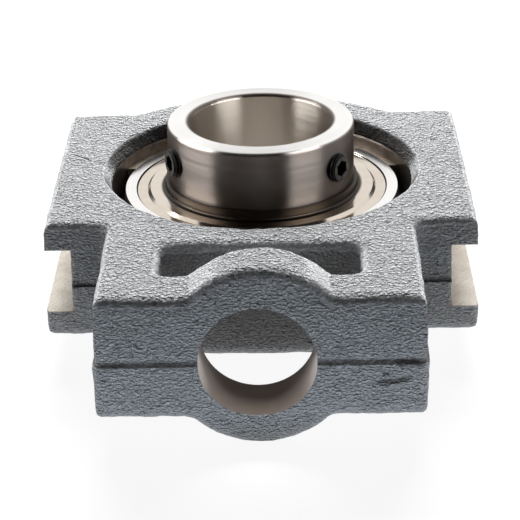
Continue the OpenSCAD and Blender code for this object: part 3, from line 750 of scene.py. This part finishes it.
def zinc_plate():
    """Bright zinc with a faint blue and yellow passivation."""
    material, tree, shader = finish_of("zinc_plate", Metallic=1.0)
    stain = use(tree, oil_stain, Size=3.0 * MM)
    colour = mix(tree, stain["Blotch"], (0.66, 0.69, 0.72, 1), (0.70, 0.66, 0.55, 1))
    bump = add(tree, "Bump", {"Height": stain["Specks"], "Strength": 0.15, "Distance": 0.02 * MM})
    feed(tree, shader, Base_Color=colour, Normal=bump.outputs["Normal"],
         Roughness=span(tree, stain["Blotch"], 0, 1, 0.22, 0.36))
    return material


dress("nipple_body", zinc_plate())
spring = bpy.data.objects.new("coil_spring", nodes["nipple_spring"].data.copy())
spring.data.materials.clear()
spring.data.materials.append(pressed_strip("spring_wire", (0.55, 0.53, 0.50, 1), (0.35, 0.30, 0.25, 1)))
bpy.context.scene.collection.objects.link(spring)
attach(spring, "housing")
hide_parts("nipple_spring")
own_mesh(spring)

# Stage: a white table and a white tent with dark cloths on the camera's side, as for a catalogue picture.
# One broad lamp hangs above and behind, the table glows back from below, a low lamp on each side draws
# the upright edges, and two white cards show only in the metal.
TABLE_HALF = 3.0
SQUARE = ((-1, -1), (1, -1), (1, 1), (-1, 1))
CLOTH_LEFT, CLOTH_RIGHT = -1.25, 0.55
CLOTH_Y = -0.75
CLOTH_TOP = 1.4
ROOF_BACK_Y = 0.1
TABLE_CLOTH_LEFT, TABLE_CLOTH_RIGHT = -0.6, 0.35
TABLE_CLOTH_BACK_Y = -0.32
GLOW_FRONT_Y = -0.118
RIM_X, RIM_Y, RIM_Z = 0.75, 0.22, -0.002
TENT_LIGHT = 0.006


def seen_or_mirrored(tree):
    """1 where the camera sees a surface, straight or in metal, and 0 where it lights another one."""
    path = add(tree, "LightPath").outputs
    straight = calc(tree, "MAXIMUM", path["Is Camera Ray"],
                    calc(tree, "MAXIMUM", path["Is Glossy Ray"], path["Is Transmission Ray"]))
    return calc(tree, "MULTIPLY", straight, calc(tree, "LESS_THAN", path["Diffuse Depth"], 0.5))


def table_top():
    """White table: plain white to the camera and in the metal, grey for the light it gives back, and
    clear from below."""
    material = bpy.data.materials.new("table_top")
    material.use_nodes = True
    tree = material.node_tree
    tree.nodes.clear()
    seen = seen_or_mirrored(tree)
    glow = add(tree, "Emission", {"Color": WHITE, "Strength": 0.92})
    shade = add(tree, "BsdfDiffuse", {"Color": (0.1, 0.1, 0.1, 1)})
    white = add(tree, "AddShader", {0: glow.outputs[0], 1: shade.outputs[0]})
    grey = add(tree, "BsdfDiffuse", {"Color": (0.2, 0.2, 0.2, 1)})
    both = add(tree, "MixShader", {0: seen, 1: grey.outputs[0], 2: white.outputs[0]})
    from_below = add(tree, "NewGeometry").outputs["Backfacing"]
    clear = add(tree, "BsdfTransparent")
    one_sided = add(tree, "MixShader", {0: from_below, 1: both.outputs[0], 2: clear.outputs[0]})
    add(tree, "OutputMaterial", {"Surface": one_sided.outputs[0]})
    return material


def flat_card(name, corners, material):
    """A flat stage card through its corners."""
    mesh = bpy.data.meshes.new(name)
    mesh.from_pydata(corners, [], [range(len(corners))])
    mesh.materials.append(material)
    card = bpy.data.objects.new(name, mesh)
    bpy.context.scene.collection.objects.link(card)
    return card


def side_card(name, centre, width, height, strength):
    """A white upright card that faces the object and shows only in its metal."""
    material = bpy.data.materials.new(name)
    material.use_nodes = True
    tree = material.node_tree
    tree.nodes.clear()
    glow = add(tree, "Emission", {"Strength": calc(tree, "MULTIPLY", seen_or_mirrored(tree), strength)})
    add(tree, "OutputMaterial", {"Surface": glow.outputs[0]})
    along = Vector((-centre[1], centre[0], 0)).normalized() * width / 2
    rise = Vector((0, 0, height / 2))
    corners = [Vector(centre) + along * u + rise * v for u, v in SQUARE]
    flat_card(name, corners, material).visible_camera = False


def lamp(name, place, aim, width, height, power, colour):
    """A soft rectangular lamp at place, facing aim, that doesn't show in the metal."""
    light = bpy.data.lights.new(name, "AREA")
    light.shape = "RECTANGLE"
    light.size = width
    light.size_y = height
    light.energy = power
    light.color = colour
    stand = bpy.data.objects.new(name, light)
    stand.location = place
    stand.rotation_euler = (Vector(aim) - Vector(place)).to_track_quat("-Z", "Y").to_euler()
    stand.visible_camera = False
    stand.visible_glossy = False
    bpy.context.scene.collection.objects.link(stand)


table_z = cad_box[0].z
just_above = table_z + 1 * MM
flat_card("table", [(x * TABLE_HALF, y * TABLE_HALF, table_z) for x, y in SQUARE], table_top())

dark_cloth = finish_of("dark_cloth", Base_Color=(0.02, 0.018, 0.017, 1), Roughness=0.9)[0]
cloths = {
    "front_cloth": [(CLOTH_LEFT, CLOTH_Y, table_z), (CLOTH_RIGHT, CLOTH_Y, table_z),
                    (CLOTH_RIGHT, CLOTH_Y, CLOTH_TOP), (CLOTH_LEFT, CLOTH_Y, CLOTH_TOP)],
    "roof_cloth": [(CLOTH_LEFT, CLOTH_Y, CLOTH_TOP), (-CLOTH_LEFT, CLOTH_Y, CLOTH_TOP),
                   (-CLOTH_LEFT, ROOF_BACK_Y, CLOTH_TOP), (CLOTH_LEFT, ROOF_BACK_Y, CLOTH_TOP)],
    "table_cloth": [(CLOTH_LEFT, CLOTH_Y, just_above), (CLOTH_RIGHT, CLOTH_Y, just_above),
                    (TABLE_CLOTH_RIGHT, TABLE_CLOTH_BACK_Y, just_above),
                    (TABLE_CLOTH_LEFT, TABLE_CLOTH_BACK_Y, just_above)],
}
for name, corners in cloths.items():
    cloth = flat_card(name, corners, dark_cloth)
    cloth.visible_camera = False
    cloth.visible_shadow = False

lamp("back_softbox", place=(0.0, 0.765, 0.63), aim=(0, 0, 0), width=0.7, height=0.5,
     power=37.5, colour=(1.0, 0.98, 0.955))
lamp("table_glow", place=(0.0, 0.0, just_above), aim=(0, 0, 1), width=0.40, height=0.30,
     power=0.41, colour=WHITE[:3])
lamp("front_glow", place=(0.0, GLOW_FRONT_Y, just_above), aim=(0, GLOW_FRONT_Y, 1), width=0.20, height=0.05,
     power=0.029, colour=(0.66, 0.83, 1.0))
for name, rim_x in (("left_rim", -RIM_X), ("right_rim", RIM_X)):
    lamp(name, place=(rim_x, RIM_Y, RIM_Z), aim=(0, 0, 0), width=0.6, height=0.04,
         power=2.6, colour=WHITE[:3])
side_card("left_card", centre=(-0.80, -0.08, 0.30), width=0.75, height=0.6, strength=12.0)
side_card("right_card", centre=(0.655, -0.46, 0.30), width=0.58, height=0.6, strength=9.6)

world = bpy.data.worlds.new("white_tent")
bpy.context.scene.world = world
world.use_nodes = True
sky = world.node_tree
sky.nodes.clear()
sky_strength = span(sky, seen_or_mirrored(sky), 0.0, 1.0, TENT_LIGHT, 1.0)
sky_glow = add(sky, "Background", {"Color": WHITE, "Strength": sky_strength})
add(sky, "OutputWorld", {"Surface": sky_glow.outputs[0]})

# Camera: a long lens about 0.56 m off, in front of the tail and looking down on the set screws with
# a slight roll. Its place and lens were fitted to the object's edges in the picture.
CAMERA_ELEVATION = math.radians(25.101)
CAMERA_AZIMUTH = math.radians(0.865)
CAMERA_ROLL = math.radians(1.210)
CAMERA_SIDE = -0.930 * MM
CAMERA_LIFT = -12.240 * MM
CAMERA_DISTANCE = 558.558 * MM
CAMERA_LENS = 134.74
SENSOR_WIDTH = 36
CLIP_START = 10 * MM
back = Vector((math.sin(CAMERA_AZIMUTH) * math.cos(CAMERA_ELEVATION),
               -math.cos(CAMERA_AZIMUTH) * math.cos(CAMERA_ELEVATION), math.sin(CAMERA_ELEVATION)))
right = Vector((math.cos(CAMERA_AZIMUTH), math.sin(CAMERA_AZIMUTH), 0))
up = back.cross(right)
camera_x = right * math.cos(CAMERA_ROLL) - up * math.sin(CAMERA_ROLL)
camera_y = right * math.sin(CAMERA_ROLL) + up * math.cos(CAMERA_ROLL)
lens = bpy.data.cameras.new("camera")
lens.lens = CAMERA_LENS
lens.sensor_width = SENSOR_WIDTH
lens.clip_start = CLIP_START
camera = bpy.data.objects.new("camera", lens)
placed = Matrix((camera_x, camera_y, back)).transposed().to_4x4()
placed.translation = right * CAMERA_SIDE + up * CAMERA_LIFT + back * CAMERA_DISTANCE
camera.matrix_world = placed
bpy.context.scene.collection.objects.link(camera)
bpy.context.scene.camera = camera
bpy.context.scene.view_settings.view_transform = "Standard"
